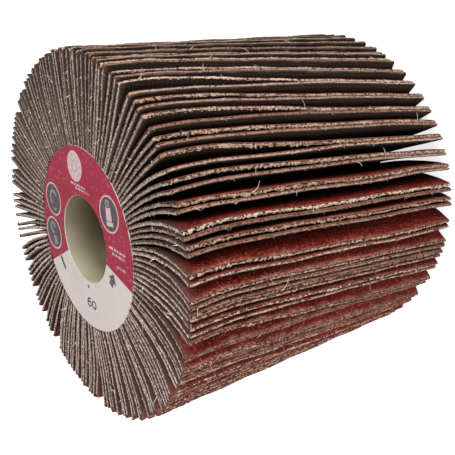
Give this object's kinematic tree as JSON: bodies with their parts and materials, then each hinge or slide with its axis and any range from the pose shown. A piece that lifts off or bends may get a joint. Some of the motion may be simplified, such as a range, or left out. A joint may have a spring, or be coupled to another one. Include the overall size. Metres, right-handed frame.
{
  "type": "flap wheel",
  "caption": "Drum-shaped abrasive flap wheel: radial cloth flaps potted round a bored plastic sleeve, with a board disc at each end and a printed paper label.",
  "frame": {"origin": "centre of the rear end, on the bore axis, level with the rear edges of the flaps", "axes": "+Z along the bore axis to the labelled front end, +Y towards the top of the label's print"},
  "size_m": [0.1066, 0.1069, 0.1],
  "materials": {
    "sleeve": "matt moulded resin, pale greenish cream",
    "flap_cloth": "resin-bonded aluminium-oxide grit on stiff cotton cloth",
    "disc_board": "pressed fibre board",
    "label_paper": "printed paper, slight sheen"
  },
  "bodies": {
    "root": {"core_sleeve": "sleeve", "flap_pack": "flap_cloth", "front_end_disc": "disc_board", "rear_end_disc": "disc_board", "front_label": "label_paper"}
  },
  "joints": []
}
